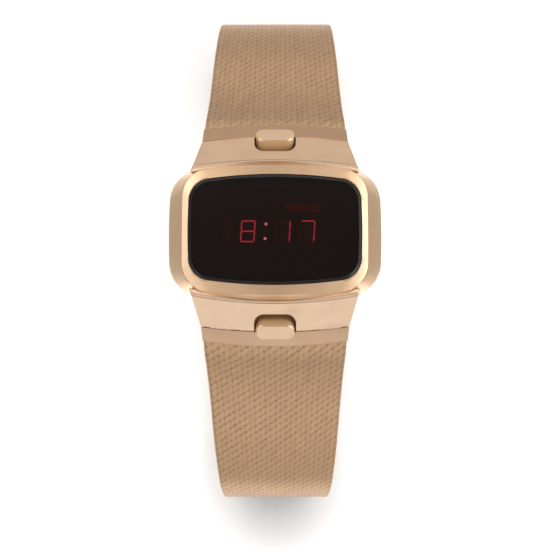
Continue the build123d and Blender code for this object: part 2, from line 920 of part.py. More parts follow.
# Module: frame with a rim round the board, wells for the cells and pockets for components
rim_depth = mask_top_depth + mask_thickness
step_depth = flank_depth + module_gap
board_base_depth = board_depth + board_thickness
with BuildPart() as module_frame:
    with BuildSketch(at_depth(module_base_depth)):
        add(cavity_face(-module_gap))
        with GridLocations(2 * boss_x, 2 * boss_y, 2, 2):
            Circle(boss_radius + module_gap, mode=Mode.SUBTRACT)
    extrude(amount=module_base_depth - step_depth)
    with BuildSketch(at_depth(step_depth)):
        add(bore_face(bezel_bore_half_width - module_gap, bezel_bore_half_height - module_gap))
    extrude(amount=step_depth - rim_depth)
    with BuildSketch(at_depth(board_base_depth)):
        add(bore_face(bezel_bore_half_width - rim_width, bezel_bore_half_height - rim_width))
    extrude(amount=board_base_depth, mode=Mode.SUBTRACT)
    well_height = battery_height + contact_thickness + 2 * contact_lift
    well_base_depth = body_depth - hatch_gasket_thickness
    with BuildSketch(at_depth(well_base_depth)):
        with GridLocations(2 * battery_x, 0, 2, 1):
            Circle(battery_radius + battery_gap)
    extrude(amount=well_height, mode=Mode.SUBTRACT)
    with BuildSketch(at_depth(board_base_depth)):
        with Locations((0, component_y)):
            Rectangle(control_width + 2 * component_gap, control_height + 2 * component_gap)
        with Locations((-quartz_offset, -component_y)):
            Rectangle(quartz_length + 2 * component_gap, 2 * quartz_radius + 2 * component_gap)
        with Locations((trimmer_x, -trimmer_y)):
            Circle(trimmer_radius + component_gap)
    extrude(amount=-component_pocket, mode=Mode.SUBTRACT)
    groove_depth = blade_inset + blade_thickness
    with BuildSketch(at_depth(module_base_depth)):
        for groove_y in (-module_wall_y, module_wall_y):
            with Locations((0, groove_y)):
                Rectangle(blade_width + 2 * component_gap, 2 * groove_depth)
    extrude(amount=module_base_depth - board_base_depth, mode=Mode.SUBTRACT)
save(module_frame.part, "module_frame")

with BuildPart() as circuit_board:
    with BuildSketch(at_depth(board_base_depth)):
        board_inset = rim_width + mask_gap
        add(bore_face(bezel_bore_half_width - board_inset, bezel_bore_half_height - board_inset))
    extrude(amount=board_thickness)
save(circuit_board.part, "circuit_board")

with BuildPart() as control_chip:
    with BuildSketch(at_depth(board_base_depth)):
        with Locations((0, component_y)):
            Rectangle(control_width, control_height)
    extrude(amount=-control_thickness)
save(control_chip.part, "control_chip")

with BuildPart() as quartz_can:
    with BuildSketch(Plane.YZ.offset(-quartz_offset - quartz_length / 2)):
        with Locations((-component_y, crest_height - board_base_depth - quartz_radius)):
            Circle(quartz_radius)
    extrude(amount=quartz_length)
save(quartz_can.part, "quartz_can")

with BuildPart() as trimmer_capacitor:
    with BuildSketch(at_depth(board_base_depth)):
        with Locations((trimmer_x, -trimmer_y)):
            Circle(trimmer_radius)
    extrude(amount=-trimmer_thickness)
    with BuildSketch(at_depth(board_base_depth + trimmer_thickness)):
        with Locations((trimmer_x, -trimmer_y)):
            Rectangle(2 * trimmer_radius, trimmer_slot)
    extrude(amount=trimmer_slot, mode=Mode.SUBTRACT)
save(trimmer_capacitor.part, "trimmer_capacitor")


# Cells, contacts, hatches and their gaskets, in left and right pairs
def battery(middle_x):
    with BuildPart() as cell:
        with BuildSketch(at_depth(well_base_depth)):
            with Locations((middle_x, 0)):
                Circle(battery_radius)
        extrude(amount=battery_height - battery_step)
        with BuildSketch(at_depth(well_base_depth - battery_height + battery_step)):
            with Locations((middle_x, 0)):
                Circle(battery_radius - battery_rim)
        extrude(amount=battery_step)
    return cell.part


def contact(middle_x):
    # A bowed leaf between the well's roof and the cell
    roof = crest_height - well_base_depth + well_height
    with BuildPart() as leaf:
        with BuildSketch(Plane.XZ.offset(-contact_width / 2)):
            with BuildLine():
                bow = ThreePointArc(
                    (middle_x - contact_span / 2, roof - contact_thickness / 2 - contact_lift / 2),
                    (middle_x, roof - contact_thickness / 2 - contact_lift - contact_lift / 2),
                    (middle_x + contact_span / 2, roof - contact_thickness / 2 - contact_lift / 2),
                )
            trace(bow, line_width=contact_thickness)
        extrude(amount=contact_width)
    return leaf.part


def hatch(middle_x):
    with BuildPart() as lid:
        with BuildSketch(at_depth(body_depth + back_thickness)):
            with Locations((middle_x, 0)):
                Circle(hatch_radius)
        extrude(amount=back_thickness)
        with BuildSketch(at_depth(body_depth - tab_gap)):
            with Locations((middle_x, 0)):
                Circle(hatch_radius + tab_reach)
                Circle(hatch_radius - tab_neck, mode=Mode.SUBTRACT)
                Rectangle(tab_width, 4 * hatch_radius, mode=Mode.INTERSECT)
        extrude(amount=tab_thickness)
        with BuildSketch(at_depth(body_depth)):
            with Locations((middle_x, 0)):
                Circle(hatch_radius)
                Circle(hatch_radius - tab_neck, mode=Mode.SUBTRACT)
                Rectangle(tab_width, 4 * hatch_radius, mode=Mode.INTERSECT)
        extrude(amount=tab_gap)
        with BuildSketch(at_depth(body_depth + back_thickness)):
            with Locations((middle_x, 0)):
                Rectangle(hatch_slot_length, hatch_slot_width)
        extrude(amount=hatch_slot_depth, mode=Mode.SUBTRACT)
    return lid.part


def hatch_gasket(middle_x):
    with BuildPart() as ring:
        with BuildSketch(at_depth(body_depth)):
            with Locations((middle_x, 0)):
                Circle(hatch_gasket_radius)
                Circle(hatch_gasket_radius - hatch_gasket_width, mode=Mode.SUBTRACT)
        extrude(amount=hatch_gasket_thickness)
    return ring.part


for name, middle_x in (("left", -battery_x), ("right", battery_x)):
    save(battery(middle_x), f"battery_{name}")
    save(contact(middle_x), f"contact_{name}")
    save(hatch(middle_x), f"hatch_{name}")
    save(hatch_gasket(middle_x), f"hatch_gasket_{name}")

# Case back with its hatch holes, screws and gasket
with BuildPart() as case_back:
    with BuildSketch(at_depth(body_depth + back_thickness)):
        add(
            cushion_face(
                back_half_width, back_half_height, case_side_bow, back_end_bow, case_corner_radius
            )
        )
    extrude(amount=back_thickness)
    chamfer(case_back.edges().group_by(Axis.Z)[0], back_edge)
    with BuildSketch(at_depth(body_depth + back_thickness)):
        with GridLocations(2 * battery_x, 0, 2, 1):
            Circle(hatch_radius + hatch_gap)
            Rectangle(2 * (hatch_radius + tab_reach + hatch_gap), tab_width + 2 * hatch_gap)
        with GridLocations(2 * boss_x, 2 * boss_y, 2, 2):
            Circle(screw_radius + screw_gap)
    extrude(amount=back_thickness, mode=Mode.SUBTRACT)
    with BuildSketch(at_depth(body_depth + back_thickness)):
        with GridLocations(2 * boss_x, 2 * boss_y, 2, 2):
            Circle(screw_head_radius + screw_gap)
    extrude(amount=screw_head_height + screw_sink, mode=Mode.SUBTRACT)
save(case_back.part, "case_back")

with BuildPart() as back_gasket:
    with BuildSketch(at_depth(body_depth)):
        add(cavity_face(back_gasket_inset + back_gasket_width - weld_gap))
        add(cavity_face(back_gasket_inset + weld_gap), mode=Mode.SUBTRACT)
    extrude(amount=back_gasket_depth - weld_gap)
save(back_gasket.part, "back_gasket")

with BuildPart() as back_screws:
    screw_face_depth = body_depth + back_thickness - screw_sink
    with BuildSketch(at_depth(screw_face_depth)):
        with GridLocations(2 * boss_x, 2 * boss_y, 2, 2):
            Circle(screw_radius - weld_gap)
    extrude(amount=screw_face_depth - body_depth + screw_length - screw_gap)
    with BuildSketch(at_depth(screw_face_depth)):
        with GridLocations(2 * boss_x, 2 * boss_y, 2, 2):
            Circle(screw_head_radius)
    extrude(amount=screw_head_height)
    with BuildSketch(at_depth(screw_face_depth)):
        with GridLocations(2 * boss_x, 2 * boss_y, 2, 2):
            Rectangle(2 * screw_head_radius, screw_slot_width)
    extrude(amount=screw_slot_depth, mode=Mode.SUBTRACT)
save(back_screws.part, "back_screws")

# Clasp: frame of two rails and a floor, riding on the tail of the 12 side
inner_half_width = frame_width / 2 - rail_thickness
cover_pin_height = cover_recess + cover_knuckle_radius
lever_pin_height = band_mid_height + band_thickness / 2 + lever_pin_rise
frame_length = frame_front_y + frame_back_reach
frame_middle_y = (frame_front_y - frame_back_reach) / 2
with BuildPart() as clasp_frame:
    for rail_x in (-frame_width / 2, inner_half_width):
        with BuildSketch(Plane.YZ.offset(rail_x)):
            with Locations((frame_middle_y, rail_height / 2)):
                RectangleRounded(frame_length, rail_height, rail_end_radius)
            with Locations((lever_pin_y, lever_pin_height)):
                Circle(2 * lever_pin_radius)
            with Locations((lever_pin_y, (rail_height + lever_pin_height) / 2 - rail_end_radius)):
                Rectangle(4 * lever_pin_radius, lever_pin_height - rail_height + 2 * rail_end_radius)
        extrude(amount=rail_thickness)
    with BuildSketch(Plane.XY.offset(floor_height)):
        with Locations((0, (frame_front_y - rail_end_radius - floor_back_reach) / 2)):
            Rectangle(2 * inner_half_width, frame_front_y - rail_end_radius + floor_back_reach)
    extrude(amount=floor_thickness)
    for bore in (
        bar_along_x(cover_pin_y, cover_pin_height, cover_pin_radius, -frame_width, frame_width),
        bar_along_x(lever_pin_y, lever_pin_height, lever_pin_radius, -frame_width, frame_width),
    ):
        add(bore, mode=Mode.SUBTRACT)
save(clasp_frame.part, "clasp_frame")
save(
    bar_along_x(cover_pin_y, cover_pin_height, cover_pin_radius, -frame_width / 2, frame_width / 2),
    "cover_pin",
)
save(
    bar_along_x(lever_pin_y, lever_pin_height, lever_pin_radius, -frame_width / 2, frame_width / 2),
    "lever_pin",
)

# Cover plate: its lip at the free end holds the tongue's ridge
cover_half_width = inner_half_width - cover_side_gap
cover_back_y = cover_end_gap - frame_back_reach
with BuildPart() as clasp_cover:
    with BuildSketch(Plane.XY.offset(cover_recess)):
        with Locations((0, (cover_pin_y + cover_back_y) / 2)):
            Rectangle(2 * cover_half_width, cover_pin_y - cover_back_y)
    extrude(amount=cover_thickness)
    chamfer(clasp_cover.edges().group_by(Axis.Z)[0], cover_edge)
    with BuildSketch(Plane.XY.offset(cover_recess + cover_thickness)):
        with Locations((0, cover_back_y + cover_lip_thickness / 2)):
            Rectangle(tongue_width, cover_lip_thickness)
    extrude(amount=cover_lip_height)
    add(
        bar_along_x(
            cover_pin_y, cover_pin_height, cover_knuckle_radius, -cover_half_width, cover_half_width
        )
    )
    add(
        bar_along_x(
            cover_pin_y, cover_pin_height, cover_pin_radius + cover_pin_fit, -frame_width, frame_width
        ),
        mode=Mode.SUBTRACT,
    )
save(clasp_cover.part, "clasp_cover")

# Lever that clamps the tail, on the wrist side
mesh_top_height = band_mid_height + band_thickness / 2
lever_half_width = inner_half_width - lever_side_gap
with BuildPart() as adjuster_lever:
    with BuildSketch(Plane.XY.offset(mesh_top_height + lever_rise)):
        with Locations((0, lever_pin_y - lever_length / 2)):
            Rectangle(2 * lever_half_width, lever_length)
    extrude(amount=lever_thickness)
    tip_edges = adjuster_lever.edges().filter_by(Axis.Z).sort_by(Axis.Y)[:2]
    fillet(tip_edges, lever_tip_radius)
    add(
        bar_along_x(
            lever_pin_y, lever_pin_height, lever_knuckle_radius, -lever_half_width, lever_half_width
        )
    )
    add(
        bar_along_x(
            lever_pin_y, lever_pin_height, lever_pin_radius + cover_pin_fit, -frame_width, frame_width
        ),
        mode=Mode.SUBTRACT,
    )
save(adjuster_lever.part, "adjuster_lever")


# Thin crimp on the tail of the 12 side
with BuildPart() as tail_cap:
    with BuildSketch(Plane.XZ.offset(band_tail_reach)):
        with Locations((0, band_mid_height)):
            RectangleRounded(band_clasp_width, band_thickness, tail_cap_wall)
    extrude(amount=tail_cap_length)
save(tail_cap.part, "tail_cap")

# Crimp of the 6 side with the tongue that enters the clasp
with BuildPart() as clasp_tongue:
    cap_half_width = band_clasp_width / 2 + tongue_cap_wall
    tongue_height = cover_recess + cover_thickness + tongue_rise
    cap_top_height = band_mid_height + band_thickness / 2 + tongue_cap_wall
    with BuildSketch(Plane.YZ.offset(-cap_half_width)):
        with Locations((-tongue_cap_y - tongue_cap_length / 2, band_mid_height)):
            RectangleRounded(tongue_cap_length, band_thickness + 2 * tongue_cap_wall, tongue_cap_wall)
    extrude(amount=2 * cap_half_width)
    with BuildSketch(Plane.XY.offset(tongue_height)):
        with Locations((0, -(tongue_tip_y + tongue_cap_y + tongue_cap_wall) / 2)):
            Rectangle(tongue_width, tongue_cap_y + tongue_cap_wall - tongue_tip_y)
    extrude(amount=tongue_thickness)
    with BuildSketch(Plane.XY.offset(tongue_height)):
        with Locations((0, -tongue_cap_y - tongue_cap_wall / 2)):
            Rectangle(tongue_width, tongue_cap_wall)
    extrude(amount=band_mid_height - tongue_height)
    ridge_y = cover_back_y + cover_lip_thickness + tongue_ridge_gap + tongue_ridge_length / 2
    with BuildSketch(Plane.XY.offset(tongue_height)):
        with Locations((0, ridge_y)):
            Rectangle(tongue_width, tongue_ridge_length)
    extrude(amount=-tongue_ridge_height)
    mesh_half_width = band_clasp_width / 2 + weld_gap
    with BuildSketch(Plane.YZ.offset(-mesh_half_width)):
        with Locations((-tongue_cap_y - tongue_cap_wall - tongue_cap_length / 2, band_mid_height)):
            Rectangle(tongue_cap_length, band_thickness + 2 * weld_gap)
    extrude(amount=2 * mesh_half_width, mode=Mode.SUBTRACT)
save(clasp_tongue.part, "clasp_tongue")
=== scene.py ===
import math

import bmesh
import bpy
import numpy as np
from mathutils import Matrix, Vector


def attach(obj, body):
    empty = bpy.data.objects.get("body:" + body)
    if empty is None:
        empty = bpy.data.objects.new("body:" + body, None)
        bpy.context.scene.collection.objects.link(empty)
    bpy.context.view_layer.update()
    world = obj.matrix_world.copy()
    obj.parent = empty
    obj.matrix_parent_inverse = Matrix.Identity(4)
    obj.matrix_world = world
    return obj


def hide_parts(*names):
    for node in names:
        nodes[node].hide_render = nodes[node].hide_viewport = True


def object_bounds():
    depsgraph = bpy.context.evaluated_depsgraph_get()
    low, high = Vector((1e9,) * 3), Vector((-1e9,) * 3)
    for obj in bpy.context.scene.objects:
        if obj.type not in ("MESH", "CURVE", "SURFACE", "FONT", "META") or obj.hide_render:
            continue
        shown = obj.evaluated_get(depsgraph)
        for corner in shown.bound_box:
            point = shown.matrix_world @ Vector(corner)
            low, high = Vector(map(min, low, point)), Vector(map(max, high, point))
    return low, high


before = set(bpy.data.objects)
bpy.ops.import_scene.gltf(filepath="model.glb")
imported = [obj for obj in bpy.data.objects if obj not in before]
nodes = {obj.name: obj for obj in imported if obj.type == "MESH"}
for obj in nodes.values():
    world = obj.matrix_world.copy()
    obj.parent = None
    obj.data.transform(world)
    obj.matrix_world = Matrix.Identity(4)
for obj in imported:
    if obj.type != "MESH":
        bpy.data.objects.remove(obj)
cadLow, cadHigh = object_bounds()
collection = bpy.context.scene.collection
print("frame loaded")

mm = 0.001
crystalProud = 0.45  # mm, how far the crystal stands out of the bezel
crestHeight = round(cadHigh[2] / mm - crystalProud, 3)  # mm, front edge of the bezel

# Sloping face of each slab: its outer edge in mm, and how far it falls per mm
slabFace = {"endY": 17.12, "endDepth": 5.0, "fall": 0.6366}


def slabHeight(y):
    return crestHeight - slabFace["endDepth"] + (slabFace["endY"] - y) * slabFace["fall"]


# Camera, aimed at the front edge of the bezel as the photograph was taken
cameraSetup = {
    "target": (0.0, 0.0, crestHeight),
    "distance": 260.0,  # mm
    "elevation": 81.5,  # degrees above the horizon
    "yaw": 2.5,  # degrees to the right
    "lens": 97.33,
    "sensor": 36.0,
    "shiftX": 0.0091,
    "shiftY": -0.0905,
    "clip": (0.01, 10.0),  # m
}


def buildCamera(setup):
    cameraData = bpy.data.cameras.new("photoCamera")
    camera = bpy.data.objects.new("photoCamera", cameraData)
    collection.objects.link(camera)
    cameraData.lens = setup["lens"]
    cameraData.sensor_width = setup["sensor"]
    cameraData.shift_x = setup["shiftX"]
    cameraData.shift_y = setup["shiftY"]
    cameraData.clip_start, cameraData.clip_end = setup["clip"]
    yaw, elevation = math.radians(setup["yaw"]), math.radians(setup["elevation"])
    level = math.cos(elevation)
    back = Vector((math.sin(yaw) * level, -math.cos(yaw) * level, math.sin(elevation)))
    up = (Vector((0, 1, 0)) - back * back.y).normalized()  # 12 o'clock stays upright
    axes = Matrix((up.cross(back), up, back)).transposed().to_4x4()
    place = (Vector(setup["target"]) + back * setup["distance"]) * mm
    camera.matrix_world = Matrix.Translation(place) @ axes
    bpy.context.scene.camera = camera


buildCamera(cameraSetup)
print("camera ready")

noiseSpan = (0.3, 0.7)  # nearly all of a noise lies between these
grainSpan = (0.35, 0.65)
fineBump = 0.02  # mm


# Small helpers for node trees
def addNode(tree, kind, inputs=(), **settings):
    node = tree.nodes.new(kind)
    for key, value in settings.items():
        setattr(node, key, value)
    for key, value in dict(inputs).items():
        if isinstance(value, bpy.types.NodeSocket):
            tree.links.new(value, node.inputs[key])
        else:
            node.inputs[key].default_value = value
    return node


def addRamp(tree, factor, stops):
    ramp = addNode(tree, "ShaderNodeValToRGB", {"Fac": factor})
    elements = ramp.color_ramp.elements
    while len(elements) < len(stops):
        elements.new(0.5)
    for element, (place, tone) in zip(elements, stops):
        element.position = place
        element.color = (*tone, 1)
    return ramp.outputs["Color"]


def addMath(tree, operation, *values):
    inputs = dict(enumerate(values))
    return addNode(tree, "ShaderNodeMath", inputs, operation=operation).outputs[0]


def addRange(tree, value, source=(0.0, 1.0), result=(0.0, 1.0), smooth=False):
    # A value carried from the source range to the result, and held at its ends
    inputs = {"Value": value, "From Min": source[0], "From Max": source[1]}
    inputs.update({"To Min": result[0], "To Max": result[1]})
    kind = "SMOOTHSTEP" if smooth else "LINEAR"
    return addNode(tree, "ShaderNodeMapRange", inputs, interpolation_type=kind).outputs[0]


def mixTones(tree, factor, first, second, blend="MIX"):
    # Sockets 6 and 7 are the two tones of a colour mix, and output 2 is its result
    first, second = ((*tone, 1) if isinstance(tone, tuple) else tone for tone in (first, second))
    inputs = {0: factor, 6: first, 7: second}
    mix = addNode(tree, "ShaderNodeMix", inputs, data_type="RGBA", blend_type=blend)
    return mix.outputs[2]


def addBump(tree, height, strength, distance):
    # Distance is in mm
    inputs = {"Height": height, "Strength": strength, "Distance": distance * mm}
    return addNode(tree, "ShaderNodeBump", inputs)


def newMaterial(name, metallic=0.0, **sockets):
    material = bpy.data.materials.new(name)
    material.use_nodes = True
    tree = material.node_tree
    shader = tree.nodes["Principled BSDF"]
    shader.inputs["Metallic"].default_value = metallic
    for key, value in sockets.items():
        shader.inputs[key.replace("_", " ")].default_value = value
    return material, tree, shader


def objectPlace(tree, stretch=(1, 1, 1)):
    # Object coordinates in millimetres, stretched for brushed finishes
    coordinate = addNode(tree, "ShaderNodeTexCoord").outputs["Object"]
    scale = tuple(share / mm for share in stretch)
    return addNode(tree, "ShaderNodeMapping", {"Vector": coordinate, "Scale": scale}).outputs[0]


def addNoise(tree, scale, detail, stretch=(1, 1, 1), output="Fac"):
    # Noise over the piece, with its scale per millimetre
    inputs = {"Vector": objectPlace(tree, stretch), "Scale": scale, "Detail": detail}
    return addNode(tree, "ShaderNodeTexNoise", inputs).outputs[output]


def placeParts(tree):
    return addNode(tree, "ShaderNodeSeparateXYZ", {0: objectPlace(tree)}).outputs


def normalParts(tree):
    normal = addNode(tree, "ShaderNodeTexCoord").outputs["Normal"]
    return addNode(tree, "ShaderNodeSeparateXYZ", {0: normal}).outputs


def allOf(tree, mask, *others):
    # 1 where every mask is 1
    for other in others:
        mask = addMath(tree, "MULTIPLY", mask, other)
    return mask


def pocketMask(tree, pocket):
    # 1 on the walls and floors of the two button pockets, below the faces of the slabs
    parts = placeParts(tree)
    alongX, alongY = (addMath(tree, "ABSOLUTE", parts[axis]) for axis in "XY")
    face = addMath(tree, "MULTIPLY_ADD", alongY, -slabFace["fall"], slabHeight(0))
    below = addMath(tree, "SUBTRACT", face, parts["Z"])
    return allOf(
        tree,
        addMath(tree, "GREATER_THAN", below, pocket["edge"]),
        addMath(tree, "LESS_THAN", alongX, pocket["halfWidth"]),
        addMath(tree, "GREATER_THAN", alongY, pocket["innerY"]),
    )


def seatMask(tree, seat):
    # 1 on the blackened ledge and bore under the crystal
    parts = placeParts(tree)
    alongX, alongY = (addMath(tree, "ABSOLUTE", parts[axis]) for axis in "XY")
    return allOf(
        tree,
        addMath(tree, "LESS_THAN", parts["Z"], crestHeight - seat["depth"]),
        addMath(tree, "LESS_THAN", alongX, seat["halfWidth"]),
        addMath(tree, "LESS_THAN", alongY, seat["halfHeight"]),
        addMath(tree, "LESS_THAN", addMath(tree, "ADD", alongX, alongY), seat["corner"]),
    )


def sideMask(tree, limit, softness=0.08):
    # 1 on faces steeper than the limit, which is the upright share of their normal
    upright = normalParts(tree)["Z"]
    return addRange(tree, upright, (limit, limit + softness), (1.0, 0.0), smooth=True)


def endMask(tree, span=(0.5, 0.85)):
    # 1 on faces that look towards 12 or 6 o'clock
    return addRange(tree, addMath(tree, "ABSOLUTE", normalParts(tree)["Y"]), span, smooth=True)


def metalFinish(name, setup):
    # Metal whose tone and gloss vary a little, with fine scratches or brushing
    material, tree, shader = newMaterial(name, metallic=1.0)
    cloud = addNoise(tree, setup["cloudScale"], detail=3.0)
    lines = addNoise(tree, setup["lineScale"], detail=4.0, stretch=setup["stretch"])
    darker = tuple(part * setup["toneLow"] for part in setup["tone"])
    tone = addRamp(tree, cloud, tuple(zip(noiseSpan, (darker, setup["tone"]))))
    gloss = addRange(tree, lines, noiseSpan, setup["roughness"])
    # Painted shade: the button pockets' walls and floors get dark tones where shade falls in the
    # recess
    if "pocket" in setup:
        pocket = setup["pocket"]
        inPocket = pocketMask(tree, pocket)
        onWall = sideMask(tree, pocket["sideLimit"])
        pocketShadeTone = mixTones(tree, onWall, pocket["floorShadeTone"], pocket["wallShadeTone"])
        tone = mixTones(tree, inPocket, tone, pocketShadeTone)
        gloss = addRange(tree, inPocket, result=(gloss, pocket["roughness"]))
    # Painted light and shade: steep faces get their own tone, darker or lighter by how light falls
    # on them
    if "paintedSideTone" in setup:
        paintedSideTone = setup["paintedSideTone"]
        if "paintedEndTone" in setup:
            paintedSideTone = mixTones(tree, endMask(tree), paintedSideTone, setup["paintedEndTone"])
        tone = mixTones(tree, sideMask(tree, setup["sideLimit"]), tone, paintedSideTone)
    if "sideMetallic" in setup:
        onSide = sideMask(tree, setup["sideLimit"])
        metallic = addRange(tree, onSide, result=(1.0, setup["sideMetallic"]))
        tree.links.new(metallic, shader.inputs["Metallic"])
    if "cornerSheen" in setup:
        # Painted sheen: the tone is lighter towards both corners and darker along the middle,
        # standing in for brighter reflections at the corners
        cornerSheen = setup["cornerSheen"]
        away = addMath(tree, "ABSOLUTE", placeParts(tree)["X"])
        share = addRange(tree, away, (0.0, cornerSheen["reach"]), cornerSheen["factors"])
        tone = mixTones(tree, 1.0, tone, share, "MULTIPLY")
    if "seat" in setup:
        tone = mixTones(tree, seatMask(tree, setup["seat"]), tone, setup["seat"]["tone"])
    bump = addBump(tree, lines, setup["bump"], fineBump)
    if "waves" in setup:
        # Hand polishing leaves the faces a little wavy
        waves = setup["waves"]
        wavy = addNoise(tree, waves["scale"], detail=1.0, stretch=waves["stretch"])
        wavyBump = addBump(tree, wavy, 1.0, waves["height"])
        tree.links.new(wavyBump.outputs[0], bump.inputs["Normal"])
    tree.links.new(tone, shader.inputs["Base Color"])
    tree.links.new(gloss, shader.inputs["Roughness"])
    tree.links.new(bump.outputs[0], shader.inputs["Normal"])
    return material


def plainFinish(name, setup):
    # Plastic, ceramic or rubber with a fine grain
    material, tree, shader = newMaterial(name, Roughness=setup["roughness"])
    grain = addNoise(tree, setup["grainScale"], detail=3.0)
    darker = tuple(part * setup["toneLow"] for part in setup["tone"])
    tone = addRamp(tree, grain, tuple(zip(grainSpan, (darker, setup["tone"]))))
    bump = addBump(tree, grain, setup["bump"], fineBump)
    tree.links.new(tone, shader.inputs["Base Color"])
    tree.links.new(bump.outputs[0], shader.inputs["Normal"])
    return material


goldTone = (0.72, 0.505, 0.33)
handPolish = {
    "tone": (0.72, 0.52, 0.37),
    "toneLow": 0.95,
    "cloudScale": 0.25,
    "stretch": (1.0, 0.4, 1.0),
    "lineScale": 0.8,
    "roughness": (0.07, 0.13),
    "bump": 0.08,
    "waves": {"scale": 0.16, "height": 0.25, "stretch": (0.35, 1.0, 1.0)},  # height in mm
}
longBrushing = {"toneLow": 0.9, "stretch": (0.3, 7.0, 1.0), "lineScale": 2.0, "bump": 0.3}
metalFinishes = {
    "brushedGold": {
        "tone": goldTone,
        "toneLow": 0.93,
        "cloudScale": 0.35,
        # Painted shade and light: darker flanks, lighter where the flanks face 12 or 6 o'clock
        "paintedSideTone": (0.62, 0.434, 0.276),
        "paintedEndTone": (0.93, 0.68, 0.47),
        "sideLimit": 0.66,
        # Painted sheen: the tone's factors on the middle line and at this reach to both sides, in
        # mm
        "cornerSheen": {"reach": 12.0, "factors": (0.84, 1.12)},
        "stretch": (6.0, 0.35, 1.0),
        "lineScale": 2.2,
        "roughness": (0.27, 0.33),
        "bump": 0.03,
        "seat": {
            "tone": (0.012, 0.011, 0.010),
            "depth": 1.72,  # mm, below the crest
            "halfWidth": 15.2,
            "halfHeight": 10.0,
            "corner": 22.8,
        },
    },
    "polishedGold": handPolish,
    "slabGold": {
        **handPolish,
        "pocket": {
            # Painted shade in the button pockets: dark tones for their walls and floors
            "wallShadeTone": (0.40, 0.24, 0.12),
            "floorShadeTone": (0.16, 0.085, 0.035),
            "sideLimit": 0.8,
            "roughness": 0.3,
            "innerY": 14.0,  # mm
            "halfWidth": 3.75,
            "edge": 0.12,
        },
    },
    "buttonGold": {
        "tone": (0.76, 0.56, 0.39),
        # Painted light: the walls get a lighter, warmer tone than the face
        "paintedSideTone": (0.95, 0.66, 0.36),
        "sideLimit": 0.66,
        "sideMetallic": 0.3,  # satin walls
        "toneLow": 0.95,
        "cloudScale": 0.4,
        "stretch": (1.0, 0.4, 1.0),
        "lineScale": 1.0,
        "roughness": (0.2, 0.27),
        "bump": 0.05,
    },
    "claspGold": {**longBrushing, "tone": goldTone, "cloudScale": 0.3, "roughness": (0.2, 0.34)},
    "backSteel": {
        **longBrushing,
        "tone": (0.60, 0.59, 0.57),
        "cloudScale": 0.25,
        "roughness": (0.22, 0.36),
    },
    "pinSteel": {
        "tone": (0.58, 0.57, 0.55),
        "toneLow": 0.9,
        "cloudScale": 0.8,
        "stretch": (4.0, 1.0, 1.0),
        "lineScale": 1.5,
        "roughness": (0.15, 0.3),
        "bump": 0.2,
    },
    "contactMetal": {
        "tone": (0.80, 0.60, 0.27),
        "toneLow": 0.85,
        "cloudScale": 0.8,
        "stretch": (1.0, 1.0, 1.0),
        "lineScale": 1.5,
        "roughness": (0.2, 0.35),
        "bump": 0.2,
    },
}
plainFinishes = {
    "sealRubber": {
        "tone": (0.02, 0.02, 0.02),
        "toneLow": 0.6,
        "grainScale": 3.0,
        "roughness": 0.7,
        "bump": 0.3,
    },
    "modulePlastic": {
        "tone": (0.04, 0.038, 0.036),
        "toneLow": 0.7,
        "grainScale": 2.5,
        "roughness": 0.6,
        "bump": 0.3,
    },
    "maskBlack": {
        "tone": (0.006, 0.005, 0.005),
        "toneLow": 0.7,
        "grainScale": 3.0,
        "roughness": 0.8,
        "bump": 0.2,
    },
    "boardCeramic": {
        "tone": (0.03, 0.02, 0.018),
        "toneLow": 0.7,
        "grainScale": 1.2,
        "roughness": 0.5,
        "bump": 0.2,
    },
    "chipDark": {
        "tone": (0.17, 0.028, 0.02),
        "toneLow": 0.6,
        "grainScale": 1.2,
        "roughness": 0.5,
        "bump": 0.1,
    },
    "sensorRed": {
        "tone": (0.62, 0.12, 0.12),
        "toneLow": 0.85,
        "grainScale": 1.0,
        "roughness": 0.4,
        "bump": 0.1,
    },
    "trimmerCeramic": {
        "tone": (0.45, 0.38, 0.28),
        "toneLow": 0.8,
        "grainScale": 1.5,
        "roughness": 0.5,
        "bump": 0.2,
    },
}
finishes = {name: metalFinish(name, setup) for name, setup in metalFinishes.items()}
finishes.update({name: plainFinish(name, setup) for name, setup in plainFinishes.items()})

# Light-emitting strokes, a little uneven along their length
glowFinishes = {
    "litStroke": {
        "tone": (0.6, 0.02, 0.03),
        "glow": (1.0, 0.5, 0.7),
        "strength": 1.6,
        "unevenness": 0.8,
        "grainScale": 2.5,
        "roughness": 0.4,
        "dots": {"place": -1.65, "reach": 0.6, "glow": (0.6, 1.0, 1.0), "strength": 5.0},  # mm
    },
    # The unlit strokes get a faint painted glow, not light of their own
    "unlitStrokeFaintGlow": {
        "tone": (0.10, 0.02, 0.02),
        "glow": (1.0, 0.1, 0.1),
        "strength": 0.05,
        "unevenness": 0.5,
        "grainScale": 2.5,
        "roughness": 0.4,
    },
}


def glowFinish(name, setup):
    material, tree, shader = newMaterial(name, Roughness=setup["roughness"])
    shader.inputs["Base Color"].default_value = (*setup["tone"], 1)
    shader.inputs["Emission Color"].default_value = (*setup["glow"], 1)
    grain = addNoise(tree, setup["grainScale"], detail=1.0)
    strength = setup["strength"]
    level = addRange(tree, grain, noiseSpan, (strength * setup["unevenness"], strength))
    if "dots" in setup:
        # The colon's round chips burn brighter than the strokes
        dots = setup["dots"]
        away = addMath(tree, "SUBTRACT", placeParts(tree)["X"], dots["place"])
        onDots = addMath(tree, "LESS_THAN", addMath(tree, "ABSOLUTE", away), dots["reach"])
        glow = mixTones(tree, onDots, setup["glow"], dots["glow"])
        tree.links.new(glow, shader.inputs["Emission Color"])
        level = addRange(tree, onDots, result=(level, dots["strength"]))
    tree.links.new(level, shader.inputs["Emission Strength"])
    return material


finishes.update({name: glowFinish(name, setup) for name, setup in glowFinishes.items()})

